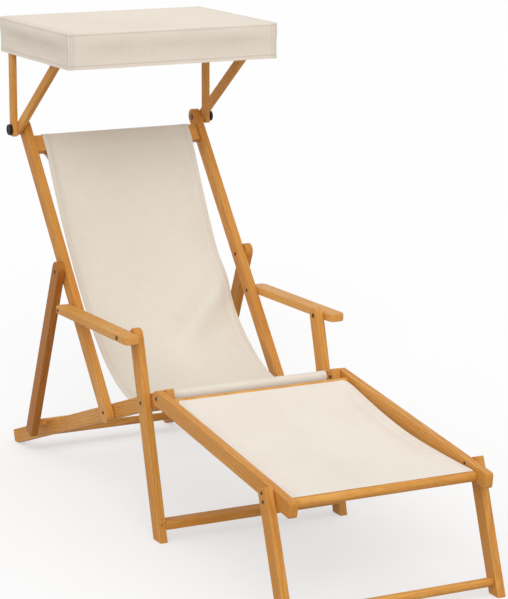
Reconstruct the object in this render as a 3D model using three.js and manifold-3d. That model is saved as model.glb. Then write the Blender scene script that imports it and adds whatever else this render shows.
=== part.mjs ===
import * as THREE from 'three';
import * as BufferGeometryUtils from 'three/addons/utils/BufferGeometryUtils.js';
import Module from 'manifold-3d';

const wasm = await Module();
wasm.setup();

// A folding wooden sun lounger: notched seat rails, a back frame on props, linked
// armrests and front legs, a footrest on its own legs and a canopy over the head end.
// Lengths are millimetres and angles are degrees. Y runs from the foot end to the head
// end, Z is up, and the outlines are drawn in the side view, in the (Y, Z) plane.

// Stock
const railWidth = 39;
const railThickness = 21;
const layerGap = 1;
const edgeEase = 1.4;
const barEase = 3.5;
const cornerEase = 5;
const seatedGap = 0.3;

// Widths across the chair
const seatOuterHalfWidth = 240;
const armrestWidth = 42;
const seatInner = seatOuterHalfWidth - railThickness;
const backInner = seatOuterHalfWidth + layerGap;
const backOuter = backInner + railThickness;
const propInner = backOuter + layerGap;
const propOuter = propInner + railThickness;

// Seat rails: measured along the rail from the front leg's pivot
const seatSlope = 19.14;
const legPivotHeight = 330.2;
const seatRailFront = 115;
const seatRailRear = 969;
const footrestPivotReach = 97;
const backPivotReach = 246.6;
const seatBarRadius = 12;
const seatBarReach = 73.5;
const seatBarRise = 5.5;
const rearStretcherReach = 884;
const rearStretcherDrop = 1.5;

// Notches for the prop's crossbar, which stands in the middle one
const notchesEachWay = 1;
const notchReach = 718;
const notchPitch = 104;
const notchDepth = 12;
const notchRamp = 35;
const notchBarRadius = 10;

// Back rails: measured along the rail from the back pivot
const backAngle = 51.4;
const backTail = 29;
const backHead = 22;
const hubReach = 841.7;
const propPivotReach = 409.4;
const armPivotReach = 298.8;

// Head slat
const headSlatWidth = 48;
const headSlatBelowHub = 52.5;
const headSlatRise = 1;

// Props: measured from the prop pivot
const propHead = 28;
const propFoot = 32;

// Front legs
const legLean = 15.2;
const armFrontRise = 165.6;
const legStretcherHeight = 40.5;
const legStretcherForward = 6;

// Armrests
const armrestNose = 54;
const armrestTail = 21;
const armrestRound = 16;
const armrestEase = 3;
const armrestFrontPlay = 1.2;

// Footrest: measured along its rail from the footrest pivot
const footrestSlope = 7.33;
const footrestReach = 701.7;
const footrestNose = 9;
const footrestRearBarReach = 45;
const footrestFrontBarReach = 653.5;
const footrestFrontBarDrop = 4;
const footrestRearBarRadius = 12.5;
const footrestFrontBarRadius = 13;
const footrestLegReach = 613;
const footrestLegLean = 19.26;
const footrestLegHead = 21.5;
const footrestLegBoltOffset = 10;
const footrestStretcherHeight = 31;
const footrestStretcherRadius = 11;

// Canopy frame: measured from the hub at the top of the back rails
const canopyBarWidth = 25;
const canopyBarThickness = 14;
const frontStrutAngle = 36.87;
const canopyRailRise = 282.6;
const frontStrutDrop = 4;
const canopyFrontReach = 405.7;
const canopyRearReach = 56.6;
const canopyHousing = 5;
const canopyBarInset = 12;
const strutTail = 18;

// Cloth
const slingThickness = 2.4;
const slingHalfWidth = 215;
const slingHem = 26;
const slingHollow = 7;
const slingDrawIn = 5;
const sleeveRound = 5;
const slatTuckAngle = 205;
const barTuckAngle = 285;
const slingUpperAngle = 63.3;
const slingUpperPull = 438;
const slingLowerAngle = 37.8;
const slingLowerPull = 383;
const footClothThickness = 2;
const footClothHalfWidth = 235;
const footClothDip = 6;
const footClothRearTack = 138;
const footClothFrontTack = 107;
const footClothHollow = 4;
const footClothDrawIn = 7;
const coverThickness = 1.6;
const coverDrop = 93;
const coverSag = 8;
const coverCorner = 4;
const coverShoulder = 1.2;
const coverWaves = 2;
const coverHeldShare = 0.9;
const coverTopSteps = 4;
const coverFlare = 2.5;

// Bolts and knobs
const boltRadius = 4;
const boltPlay = 0.1;
const boltHeadRadius = 8;
const boltHeadHeight = 3;
const capShare = 0.8;
const domeShare = 0.72;
const smallBoltRadius = 3;
const smallBoltHeadRadius = 6.5;
const tenonRadius = 8;
const tenonDepth = 12;
const tenonPlay = 0.2;
const tenonShoulder = 5;
const knobRadius = 14.5;
const knobHeight = 9;
const knobBore = 6;

// Wood and cloth colours
const teak = { color: 0xb9772f, roughness: 0.55, metalness: 0 };
const canvas = { color: 0xe3d9c8, roughness: 0.95, metalness: 0 };
const steel = { color: 0xb9bcc0, roughness: 0.35, metalness: 0.9 };
const blackPlastic = { color: 0x17171a, roughness: 0.5, metalness: 0 };

// Roundness of the facetted curves
const arcSteps = 12;
const cornerSteps = 3;
const holeSteps = 8;
const boltSteps = 12;
const dowelSteps = 20;
const sleeveSteps = 4;
const slingSteps = 26;
const footClothSteps = 14;
const clothColumns = 8;
const rimSteps = 8;
const rimCornerSteps = 2;
const coverDropSteps = 3;

const group = new THREE.Group();

// The side view's (Y, Z) plane laid into space, with the extrusion running across along X
const sideView = new THREE.Matrix4().makeBasis(
  new THREE.Vector3(0, 1, 0),
  new THREE.Vector3(0, 0, 1),
  new THREE.Vector3(1, 0, 0),
);

// A centre line in the side view: s runs along it and h stands off to its left
function centreLine(origin, degrees) {
  const angle = THREE.MathUtils.degToRad(degrees);
  const along = new THREE.Vector2(Math.cos(angle), Math.sin(angle));
  const across = new THREE.Vector2(-along.y, along.x);
  const at = (s, h = 0) => origin.clone().addScaledVector(along, s).addScaledVector(across, h);
  const floorReach = (h) => -(origin.y + h * across.y) / along.y;
  const floorOffset = (s) => -(origin.y + s * along.y) / across.y;
  return { origin, angle, degrees, along, across, at, floorReach, floorOffset };
}

function lineThrough(from, to, origin = from) {
  const reach = to.clone().sub(from);
  return centreLine(origin, THREE.MathUtils.radToDeg(Math.atan2(reach.y, reach.x)));
}

// The main pivots in the side view
const legPivot = new THREE.Vector2(0, legPivotHeight);
const seatLine = centreLine(legPivot, -seatSlope);
const footrestPivot = seatLine.at(-footrestPivotReach);
const backPivot = seatLine.at(backPivotReach);
const backLine = centreLine(backPivot, backAngle);
const hub = backLine.at(hubReach);
const propPivot = backLine.at(propPivotReach);
const armRearPivot = backLine.at(armPivotReach);
const legLine = centreLine(legPivot, 90 - legLean);
const armFrontPivot = legLine.at(armFrontRise);
const armLine = lineThrough(armRearPivot, armFrontPivot);
const notchRadius = notchBarRadius + seatedGap;
const notchCentreHeight = railWidth / 2 - notchDepth + notchRadius;
const notchBarCentre = seatLine.at(notchReach, notchCentreHeight);
const propLine = lineThrough(notchBarCentre, propPivot, propPivot);
const footrestLine = centreLine(footrestPivot, footrestSlope);
const footrestLegTop = footrestLine.at(-footrestLegReach);
const footrestLegLine = centreLine(footrestLegTop, 90 - footrestLegLean);

function addMesh(name, geometry, finish) {
  const mesh = new THREE.Mesh(geometry, new THREE.MeshStandardMaterial(finish));
  mesh.name = name;
  group.add(mesh);
}

// A right-hand geometry reflected to the left side, with its faces turned back outwards
function reflected(geometry) {
  const copy = geometry.index ? geometry.toNonIndexed() : geometry.clone();
  copy.scale(-1, 1, 1);
  for (const attribute of Object.values(copy.attributes)) {
    const size = attribute.itemSize;
    for (let corner = 0; corner < attribute.count; corner += 3) {
      for (let k = 0; k < size; k += 1) {
        const kept = attribute.array[(corner + 1) * size + k];
        attribute.array[(corner + 1) * size + k] = attribute.array[(corner + 2) * size + k];
        attribute.array[(corner + 2) * size + k] = kept;
      }
    }
  }
  return copy;
}

function addPair(name, geometry, finish) {
  addMesh(`${name}_right`, geometry, finish);
  addMesh(`${name}_left`, reflected(geometry), finish);
}

function toSolid(geometry) {
  const bare = geometry.clone();
  bare.deleteAttribute('normal');
  bare.deleteAttribute('uv');
  const merged = BufferGeometryUtils.mergeVertices(bare);
  return new wasm.Manifold(new wasm.Mesh({
    numProp: 3,
    vertProperties: merged.attributes.position.array,
    triVerts: merged.index.array,
  }));
}

function faceted(solid) {
  const mesh = solid.getMesh();
  const indexed = new THREE.BufferGeometry();
  indexed.setAttribute('position', new THREE.BufferAttribute(mesh.vertProperties, 3));
  indexed.setIndex(new THREE.BufferAttribute(mesh.triVerts, 1));
  const geometry = indexed.toNonIndexed();
  geometry.computeVertexNormals();
  return geometry;
}

function carve(geometry, cutters) {
  return faceted(cutters.reduce((solid, cutter) => solid.subtract(toSolid(cutter)), toSolid(geometry)));
}

function arcPoints(s, h, radius, from, to) {
  const clockwise = to < from;
  const curve = new THREE.EllipseCurve(s, h, radius, radius, from, to, clockwise);
  return curve.getPoints(arcSteps);
}

// The points of a closed outline whose corners are eased by short curves
function easedCorners(corners, ease) {
  return corners.flatMap((corner, index) => {
    const before = corners[(index + corners.length - 1) % corners.length];
    const after = corners[(index + 1) % corners.length];
    const start = before.clone().sub(corner).setLength(ease).add(corner);
    const end = after.clone().sub(corner).setLength(ease).add(corner);
    return new THREE.QuadraticBezierCurve(start, corner, end).getPoints(cornerSteps);
  });
}

const point = (s, h) => new THREE.Vector2(s, h);

function squareOutline(from, to, width, ease) {
  const half = width / 2;
  return easedCorners([point(from, -half), point(to, -half), point(to, half), point(from, half)], ease);
}

// A rail that ends in a half round at its far end, and at its near end too unless that end
// is square with eased corners
function roundOutline(from, to, width, nearEase = 0) {
  const half = width / 2;
  const near = nearEase > 0
    ? squareOutline(from, to, width, nearEase).filter((corner) => corner.x < from + 2 * nearEase)
    : arcPoints(from + half, 0, half, Math.PI / 2, Math.PI * 1.5);
  const far = arcPoints(to - half, 0, half, -Math.PI / 2, Math.PI / 2);
  if (nearEase === 0) return [...near, ...far];
  return [...near.filter((corner) => corner.y < 0), ...far, ...near.filter((corner) => corner.y > 0)];
}

// A flat board drawn as an outline on its centre line and extruded between two X planes
function board(line, outline, holes, fromX, toX) {
  const shape = new THREE.Shape(outline);
  for (const hole of holes) {
    const circle = new THREE.Path();
    circle.absarc(hole.s, hole.h, hole.radius, 0, Math.PI * 2, true);
    shape.holes.push(circle);
  }
  const geometry = new THREE.ExtrudeGeometry(shape, {
    depth: toX - fromX - 2 * edgeEase,
    bevelThickness: edgeEase,
    bevelSize: edgeEase,
    bevelOffset: -edgeEase,
    bevelSegments: 1,
    curveSegments: holeSteps,
  });
  geometry.translate(0, 0, fromX + edgeEase);
  geometry.rotateZ(line.angle);
  geometry.translate(line.origin.x, line.origin.y, 0);
  return geometry.applyMatrix4(sideView);
}

const boltHole = (s) => ({ s, h: 0, radius: boltRadius + boltPlay });
const smallBoltHole = (s, h = 0) => ({ s, h, radius: smallBoltRadius + boltPlay });

// A turned piece on an axis across the chair, from a profile of (radius, x) points
function turned(profile, centre, steps) {
  const geometry = new THREE.LatheGeometry(profile, steps);
  geometry.rotateZ(-Math.PI / 2);
  geometry.translate(0, centre.x, centre.y);
  return geometry;
}

// A connector bolt: domed head outside, plain shank and a flat nut cap inside
function bolt(centre, fromX, toX, radius = boltRadius, headRadius = boltHeadRadius) {
  const cap = boltHeadHeight * capShare;
  return turned([
    point(0, fromX - cap),
    point(headRadius, fromX - cap),
    point(headRadius, fromX),
    point(radius, fromX),
    point(radius, toX),
    point(headRadius, toX),
    point(headRadius * domeShare, toX + boltHeadHeight * domeShare),
    point(0, toX + boltHeadHeight),
  ], centre, boltSteps);
}

// A crossbar turned from dowel, shouldered down to a tenon at each end
function dowel(centre, radius, shoulderX, tenon = tenonRadius) {
  const endX = shoulderX + tenonDepth;
  const half = [
    point(0, endX),
    point(tenon, endX),
    point(tenon, shoulderX),
    point(radius - edgeEase, shoulderX),
    point(radius, shoulderX - edgeEase),
  ];
  const mirroredHalf = half.map((spot) => point(spot.x, -spot.y));
  return turned([...mirroredHalf, ...half.reverse()], centre, dowelSteps);
}

// The blind hole in a rail's inner face that takes a dowel's tenon
function socket(centre, innerX, tenon = tenonRadius) {
  const depth = tenonDepth + seatedGap;
  const radius = tenon + tenonPlay;
  const hole = new THREE.CylinderGeometry(radius, radius, depth + railThickness, dowelSteps);
  hole.rotateZ(Math.PI / 2);
  hole.translate(innerX + (depth - railThickness) / 2, centre.x, centre.y);
  return hole;
}

// A flat crossbar with a square tenon at each end, lying at an angle in the side view
function flatBar(line, deep, tall, shoulderX) {
  const endX = shoulderX + tenonDepth;
  const body = board(line, squareOutline(-deep / 2, deep / 2, tall, barEase), [], -shoulderX, shoulderX);
  const tenon = crossBox(line, deep - 2 * tenonShoulder, tall - 2 * tenonShoulder, -endX, endX);
  return faceted(toSolid(body).add(toSolid(tenon)));
}

// A plain box across the chair, lying at an angle in the side view
function crossBox(line, deep, tall, fromX, toX) {
  const box = new THREE.BoxGeometry(deep, tall, toX - fromX);
  box.translate(0, 0, (fromX + toX) / 2);
  box.rotateZ(line.angle);
  box.translate(line.origin.x, line.origin.y, 0);
  return box.applyMatrix4(sideView);
}

// The mortise in a rail's inner face for a flat bar's tenon
function mortise(line, deep, tall, innerX) {
  const margin = 2 * (tenonShoulder - tenonPlay);
  return crossBox(line, deep - margin, tall - margin, innerX - railThickness,
    innerX + tenonDepth + seatedGap);
}

// A notch in the top edge, met while the outline runs towards the front: a rear side cut
// square to the props, whose thrust it takes, a round seat and a steeper ramp in front
function notchPoints(reach) {
  const top = railWidth / 2;
  const thrust = propLine.angle + THREE.MathUtils.degToRad(seatSlope) - Math.PI;
  const ramp = THREE.MathUtils.degToRad(notchRamp) - Math.PI;
  const seat = arcPoints(reach, notchCentreHeight, notchRadius, thrust, ramp);
  const rearFoot = seat[0];
  const rampFoot = seat[seat.length - 1];
  return [
    point(rearFoot.x - (top - rearFoot.y) * Math.tan(thrust), top),
    ...seat,
    point(rampFoot.x - (top - rampFoot.y) * Math.tan(ramp), top),
  ];
}

const rearStretcherLine = centreLine(seatLine.at(rearStretcherReach, -rearStretcherDrop), -seatSlope);
const seatBarCentre = seatLine.at(-seatBarReach, seatBarRise);

function seatRailOutline() {
  const half = railWidth / 2;
  const ends = easedCorners([
    point(-seatRailFront, half),
    point(-seatRailFront, -half),
    point(seatLine.floorReach(-half), -half),
    point(seatRailRear, seatLine.floorOffset(seatRailRear)),
    point(seatRailRear, half),
  ], barEase);
  const rearmost = notchReach + notchesEachWay * notchPitch;
  const notches = Array.from({ length: 2 * notchesEachWay + 1 }, (_, index) => (
    rearmost - index * notchPitch));
  return [...ends, ...notches.flatMap(notchPoints)];
}

function buildSeatFrame() {
  const holes = [0, -footrestPivotReach, backPivotReach].map((s) => boltHole(s));
  const rail = board(seatLine, seatRailOutline(), holes, seatInner, seatOuterHalfWidth);
  addPair('seat_rail', carve(rail, [
    socket(seatBarCentre, seatInner),
    mortise(rearStretcherLine, railWidth, railThickness, seatInner),
  ]), teak);
  addMesh('seat_front_bar', dowel(seatBarCentre, seatBarRadius, seatInner - seatedGap), teak);
  addMesh('seat_rear_stretcher', flatBar(rearStretcherLine, railWidth, railThickness,
    seatInner - seatedGap), teak);
  addPair('back_pivot_bolt', bolt(backPivot, seatInner, backOuter), steel);
  addPair('leg_pivot_bolt', bolt(legPivot, seatInner, backOuter), steel);
  addPair('footrest_pivot_bolt', bolt(footrestPivot, seatInner, backOuter), steel);
}

const headSlatReach = hubReach - headSlatBelowHub;
const headSlatLine = centreLine(backLine.at(headSlatReach, headSlatRise), backAngle);

function buildBackFrame() {
  const outline = roundOutline(-backTail, hubReach + backHead, railWidth);
  const holes = [0, armPivotReach, propPivotReach, hubReach].map((s) => boltHole(s));
  const rail = board(backLine, outline, holes, backInner, backOuter);
  addPair('back_rail', carve(rail, [
    mortise(headSlatLine, headSlatWidth, railThickness, backInner),
  ]), teak);
  addMesh('head_slat', flatBar(headSlatLine, headSlatWidth, railThickness,
    backInner - seatedGap), teak);
  addPair('prop_pivot_bolt', bolt(propPivot, backInner, propOuter), steel);
  addPair('arm_rear_bolt', bolt(armRearPivot, backInner, propInner + armrestWidth), steel);
}

function buildPropFrame() {
  const barReach = propPivot.distanceTo(notchBarCentre);
  const outline = roundOutline(-barReach - propFoot, propHead, railWidth, cornerEase);
  const rail = board(propLine, outline, [boltHole(0)], propInner, propOuter);
  addPair('prop_rail', carve(rail, [
    socket(notchBarCentre, propInner, notchBarRadius - edgeEase),
  ]), teak);
  addMesh('prop_notch_bar', dowel(notchBarCentre, notchBarRadius, propInner - seatedGap,
    notchBarRadius - edgeEase), teak);
}

const legStretcherReach = (legStretcherHeight - legPivotHeight) / Math.cos(legLean * Math.PI / 180);
const legStretcherCentre = legLine.at(legStretcherReach);
const legStretcherLine = centreLine(
  legStretcherCentre.clone().sub(new THREE.Vector2(legStretcherForward, 0)),
  0,
);

function buildFrontLegs() {
  const half = railWidth / 2;
  const outline = [
    point(legLine.floorReach(half), half),
    point(legLine.floorReach(-half), -half),
    ...arcPoints(armFrontRise, 0, half, -Math.PI / 2, Math.PI / 2),
  ];
  const leg = board(legLine, outline, [boltHole(0), boltHole(armFrontRise)], backInner, backOuter);
  addPair('front_leg', carve(leg, [
    mortise(legStretcherLine, railWidth, railThickness, backInner),
  ]), teak);
  addMesh('front_leg_stretcher', flatBar(legStretcherLine, railWidth, railThickness,
    backInner - seatedGap), teak);
  addPair('arm_front_bolt', bolt(armFrontPivot, backInner, propInner + armrestWidth), steel);
}

// A hole drilled across the chair, between two X planes
function crossHole(centre, radius, fromX, toX) {
  const drill = new THREE.CylinderGeometry(radius, radius, toX - fromX, 2 * holeSteps);
  drill.rotateZ(Math.PI / 2);
  drill.translate((fromX + toX) / 2, centre.x, centre.y);
  return drill;
}

// An armrest: a board laid flat, its corners rounded in plan, drilled through its width
function buildArmrests() {
  const outerX = propInner + armrestWidth;
  const armReach = armRearPivot.distanceTo(armFrontPivot);
  const plan = easedCorners([
    point(-armrestTail, propInner),
    point(armReach + armrestNose, propInner),
    point(armReach + armrestNose, outerX),
    point(-armrestTail, outerX),
  ], armrestRound);
  const blank = new THREE.ExtrudeGeometry(new THREE.Shape(plan), {
    depth: railThickness - 2 * armrestEase,
    bevelThickness: armrestEase,
    bevelSize: armrestEase,
    bevelOffset: -armrestEase,
    bevelSegments: 2,
  });
  blank.translate(0, 0, armrestEase - railThickness / 2);
  blank.applyMatrix4(new THREE.Matrix4().makeBasis(
    new THREE.Vector3(0, armLine.along.x, armLine.along.y),
    new THREE.Vector3(1, 0, 0),
    new THREE.Vector3(0, -armLine.across.x, -armLine.across.y),
  ));
  blank.translate(0, armLine.origin.x, armLine.origin.y);
  const drillStart = propInner - railThickness;
  const drillEnd = outerX + railThickness;
  addPair('armrest', carve(blank, [
    crossHole(armRearPivot, boltRadius + boltPlay, drillStart, drillEnd),
    crossHole(armFrontPivot, boltRadius + armrestFrontPlay, drillStart, drillEnd),
  ]), teak);
}

const footrestRearBar = footrestLine.at(-footrestRearBarReach);
const footrestFrontBar = footrestLine.at(-footrestFrontBarReach, -footrestFrontBarDrop);
const footrestStretcher = footrestLegLine.at(
  footrestLegLine.floorReach(0) + footrestStretcherHeight / footrestLegLine.along.y,
);

function buildFootrest() {
  const half = railWidth / 2;
  const shift = footrestLegLine.angle - footrestLine.angle;
  const legBolts = [footrestLegBoltOffset, -footrestLegBoltOffset];
  const outline = roundOutline(-footrestReach, half, railWidth, footrestNose);
  const holes = [boltHole(0), ...legBolts.map((offset) => boltOnRail(offset, shift))];
  const rail = board(footrestLine, outline, holes, backInner, backOuter);
  addPair('footrest_rail', carve(rail, [
    socket(footrestRearBar, backInner),
    socket(footrestFrontBar, backInner),
  ]), teak);
  addMesh('footrest_rear_bar', dowel(footrestRearBar, footrestRearBarRadius,
    backInner - seatedGap), teak);
  addMesh('footrest_front_bar', dowel(footrestFrontBar, footrestFrontBarRadius,
    backInner - seatedGap), teak);

  const legOutline = easedCorners([
    point(footrestLegLine.floorReach(half), half),
    point(footrestLegLine.floorReach(-half), -half),
    point(footrestLegHead, -half),
    point(footrestLegHead, half),
  ], barEase);
  const legHoles = legBolts.map((offset) => smallBoltHole(offset));
  const leg = board(footrestLegLine, legOutline, legHoles, propInner, propOuter);
  addPair('footrest_leg', carve(leg, [socket(footrestStretcher, propInner)]), teak);
  addMesh('footrest_leg_stretcher', dowel(footrestStretcher, footrestStretcherRadius,
    propInner - seatedGap), teak);
  ['upper', 'lower'].forEach((place, index) => {
    const centre = footrestLegLine.at(legBolts[index]);
    addPair(`footrest_leg_bolt_${place}`, bolt(centre, backInner, propOuter, smallBoltRadius,
      smallBoltHeadRadius), steel);
  });
}

// A leg bolt's hole in the footrest rail, at an offset along the turned leg
function boltOnRail(offset, turn) {
  return smallBoltHole(offset * Math.cos(turn) - footrestLegReach, offset * Math.sin(turn));
}

// Canopy planes across the chair, outwards from the back rail
const frontStrutInner = backOuter + layerGap;
const frontStrutOuter = frontStrutInner + canopyBarThickness;
const rearStrutInner = frontStrutOuter + seatedGap;
const rearStrutOuter = rearStrutInner + canopyBarThickness;
const lapX = (rearStrutInner + rearStrutOuter) / 2;
const frontStrutLine = centreLine(hub, 180 - frontStrutAngle);
const rearStrutLine = centreLine(hub, 90);
const canopyRailLine = centreLine(hub.clone().add(new THREE.Vector2(0, canopyRailRise)), 0);
const frontStrutRise = canopyRailRise - frontStrutDrop;
const frontStrutReach = frontStrutRise / Math.sin(frontStrutLine.angle);
const frontStrutForward = frontStrutRise / Math.tan(THREE.MathUtils.degToRad(frontStrutAngle));

// The diagonal front strut, the upright rear strut and the canopy's rectangular frame; each
// rear strut is halved into its side rail and the crossbars are housed in the side rails
function buildCanopyFrame() {
  const half = canopyBarWidth / 2;
  addPair('canopy_front_strut', board(frontStrutLine, roundOutline(-strutTail,
    frontStrutReach + half, canopyBarWidth), [boltHole(0), smallBoltHole(frontStrutReach)],
  frontStrutInner, frontStrutOuter), teak);

  const lapWidth = canopyBarWidth + 2 * seatedGap;
  const farInside = rearStrutInner - railThickness;
  const farOutside = rearStrutOuter + railThickness;
  const rearStrut = board(rearStrutLine, squareOutline(-strutTail, canopyRailRise + half,
    canopyBarWidth, barEase), [boltHole(0), smallBoltHole(canopyRailRise)], rearStrutInner,
  rearStrutOuter);
  const lapTop = canopyRailLine.at(0, half);
  addPair('canopy_rear_strut', carve(rearStrut, [
    crossBox(centreLine(lapTop, 0), 2 * canopyBarWidth, canopyBarWidth + lapWidth, farInside,
      lapX + seatedGap / 2),
  ]), teak);

  const barCentres = [canopyBarInset - canopyFrontReach, canopyRearReach - canopyBarInset];
  const housing = canopyBarThickness + 2 * seatedGap;
  const housings = barCentres.map((s) => crossBox(centreLine(canopyRailLine.at(s), 0), housing,
    2 * canopyBarWidth, farInside, rearStrutInner + canopyHousing));
  const sideRail = board(canopyRailLine, squareOutline(-canopyFrontReach, canopyRearReach,
    canopyBarWidth, barEase), [smallBoltHole(-frontStrutForward, -frontStrutDrop),
    smallBoltHole(0)], rearStrutInner, rearStrutOuter);
  addPair('canopy_side_rail', carve(sideRail, [
    crossBox(canopyRailLine, lapWidth, 2 * canopyBarWidth, lapX - seatedGap / 2, farOutside),
    ...housings,
  ]), teak);

  const barEnd = rearStrutInner + canopyHousing - seatedGap;
  ['front', 'rear'].forEach((place, index) => {
    const line = centreLine(canopyRailLine.at(barCentres[index]), 90);
    addMesh(`canopy_${place}_bar`, board(line, squareOutline(-half, half, canopyBarThickness,
      barEase), [], -barEnd, barEnd), teak);
  });
  const screwEnd = rearStrutOuter - edgeEase;
  addPair('canopy_front_screw', screw(canopyRailLine.at(-frontStrutForward, -frontStrutDrop),
    frontStrutInner, screwEnd, smallBoltRadius, smallBoltHeadRadius), steel);
  addPair('canopy_rear_screw', screw(canopyRailLine.at(0), rearStrutInner, screwEnd,
    smallBoltRadius, smallBoltHeadRadius), steel);
}

// A screw with a flat head at its inner end and a plain shank
function screw(centre, fromX, toX, radius, headRadius) {
  const cap = boltHeadHeight * capShare;
  return turned([
    point(0, fromX - cap),
    point(headRadius, fromX - cap),
    point(headRadius, fromX),
    point(radius, fromX),
    point(radius, toX),
    point(0, toX),
  ], centre, boltSteps);
}

// The hub's bolt ends inside a round clamping knob
function buildHub() {
  const knobFace = rearStrutOuter + seatedGap;
  const shankEnd = knobFace + knobBore;
  addPair('canopy_hub_bolt', screw(hub, backInner, shankEnd, boltRadius, boltHeadRadius), steel);
  const bore = boltRadius + boltPlay;
  addPair('canopy_knob', turned([
    point(0, shankEnd + seatedGap),
    point(bore, shankEnd + seatedGap),
    point(bore, knobFace),
    point(knobRadius - edgeEase, knobFace),
    point(knobRadius, knobFace + edgeEase),
    point(knobRadius, knobFace + knobHeight - edgeEase),
    point(knobRadius - edgeEase, knobFace + knobHeight),
    point(0, knobFace + knobHeight),
  ], hub, dowelSteps), blackPlastic);
}

// A cloth as a closed solid: rows run along it and columns run across it. surface(row,
// column) gives the middle of the cloth, and each face stands half a thickness off it.
function clothSolid(rows, columns, thickness, surface) {
  const middle = [];
  for (let row = 0; row <= rows; row += 1) {
    for (let column = 0; column <= columns; column += 1) middle.push(surface(row, column));
  }
  const at = (row, column) => middle[row * (columns + 1) + column];
  const clamp = (value, top) => Math.min(Math.max(value, 0), top);
  const positions = [];
  for (const side of [1, -1]) {
    for (let row = 0; row <= rows; row += 1) {
      for (let column = 0; column <= columns; column += 1) {
        const ahead = at(clamp(row + 1, rows), column).clone();
        const aside = at(row, clamp(column + 1, columns)).clone();
        ahead.sub(at(clamp(row - 1, rows), column));
        aside.sub(at(row, clamp(column - 1, columns)));
        const normal = aside.cross(ahead).setLength(side * thickness / 2);
        positions.push(...normal.add(at(row, column)).toArray());
      }
    }
  }
  const perSide = (rows + 1) * (columns + 1);
  const index = [];
  const quad = (a, b, c, d) => index.push(a, b, c, a, c, d);
  const corner = (row, column) => row * (columns + 1) + column;
  for (let row = 0; row < rows; row += 1) {
    for (let column = 0; column < columns; column += 1) {
      const near = [corner(row, column), corner(row, column + 1)];
      const far = [corner(row + 1, column), corner(row + 1, column + 1)];
      quad(near[0], near[1], far[1], far[0]);
      quad(perSide + near[0], perSide + far[0], perSide + far[1], perSide + near[1]);
    }
  }
  const rim = [];
  for (let column = 0; column < columns; column += 1) rim.push(corner(0, column));
  for (let row = 0; row < rows; row += 1) rim.push(corner(row, columns));
  for (let column = columns; column > 0; column -= 1) rim.push(corner(rows, column));
  for (let row = rows; row > 0; row -= 1) rim.push(corner(row, 0));
  rim.forEach((from, step) => {
    const to = rim[(step + 1) % rim.length];
    quad(to, from, perSide + from, perSide + to);
  });
  const indexed = new THREE.BufferGeometry();
  indexed.setAttribute('position', new THREE.Float32BufferAttribute(positions, 3));
  indexed.setIndex(index);
  const geometry = indexed.toNonIndexed();
  geometry.computeVertexNormals();
  return geometry;
}

// A sheet that follows a side-view path, with a weight that says how far each point of the
// path is from the cloth's held ends: the free middle hangs hollow and draws in at its edges
function sheet(path, halfWidth, thickness, hollow, drawIn) {
  return clothSolid(path.length - 1, clothColumns, thickness, (row, column) => {
    const { spot, weight } = path[row];
    const across = (2 * column) / clothColumns - 1;
    const x = across * (halfWidth - drawIn * weight);
    return new THREE.Vector3(x, spot.x, spot.y - hollow * weight * (1 - across * across));
  });
}

const held = (points) => points.map((spot) => ({ spot, weight: 0 }));

function freeSpan(curve, steps) {
  return curve.getPoints(steps).map((spot, index) => {
    const share = index / steps;
    return { spot, weight: Math.sin(Math.PI * share) ** 2 };
  }).slice(1, -1);
}

const degreesPoint = (centre, radius, degrees) => {
  const angle = THREE.MathUtils.degToRad(degrees);
  return new THREE.Vector2(Math.cos(angle), Math.sin(angle)).multiplyScalar(radius).add(centre);
};

function arcRound(centre, radius, from, to, steps) {
  return Array.from({ length: steps + 1 }, (_, index) => degreesPoint(centre, radius,
    from + ((to - from) * index) / steps));
}

const directionDown = (degrees, towardsRear) => {
  const angle = THREE.MathUtils.degToRad(degrees);
  return new THREE.Vector2(towardsRear ? Math.cos(angle) : -Math.cos(angle), -Math.sin(angle));
};

// The seat sling: sleeved over the head slat, hanging free, and sleeved round the front bar
function buildSeatSling() {
  const stand = seatedGap + slingThickness / 2;
  const insetS = headSlatWidth / 2 + stand - sleeveRound;
  const insetH = railThickness / 2 + stand - sleeveRound;
  const corner = (s, h, from, to) => arcRound(headSlatLine.at(s, h), sleeveRound,
    backAngle + from, backAngle + to, sleeveSteps);
  const leave = 90 + slingUpperAngle - backAngle;
  const slatSleeve = [
    ...corner(-insetS, -insetH, slatTuckAngle, 270),
    ...corner(insetS, -insetH, 270, 360),
    ...corner(insetS, insetH, 0, 90),
    ...corner(-insetS, insetH, 90, leave),
  ];
  const hemOffset = slingThickness + 2 * seatedGap;
  const upperWay = directionDown(slingUpperAngle, false);
  const upperEnd = slatSleeve[slatSleeve.length - 1];
  const upperHem = upperEnd.clone().addScaledVector(upperWay, slingHem)
    .addScaledVector(new THREE.Vector2(-upperWay.y, upperWay.x), hemOffset);

  const barRound = seatBarRadius + stand;
  const lowerWay = directionDown(slingLowerAngle, true);
  const lowerEnd = degreesPoint(seatBarCentre, barRound, 90 - slingLowerAngle);
  const barSleeve = arcRound(seatBarCentre, barRound, 90 - slingLowerAngle, barTuckAngle,
    3 * sleeveSteps);
  const lowerHem = lowerEnd.clone().addScaledVector(lowerWay, slingHem)
    .addScaledVector(new THREE.Vector2(lowerWay.y, -lowerWay.x), hemOffset);

  const span = new THREE.CubicBezierCurve(
    upperEnd,
    upperEnd.clone().addScaledVector(upperWay, slingUpperPull),
    lowerEnd.clone().addScaledVector(lowerWay, slingLowerPull),
    lowerEnd,
  );
  const path = [
    ...held([upperHem, ...slatSleeve]),
    ...freeSpan(span, slingSteps),
    ...held([...barSleeve, lowerHem]),
  ];
  addMesh('seat_sling', sheet(path, slingHalfWidth, slingThickness, slingHollow, slingDrawIn),
    canvas);
}

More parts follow.
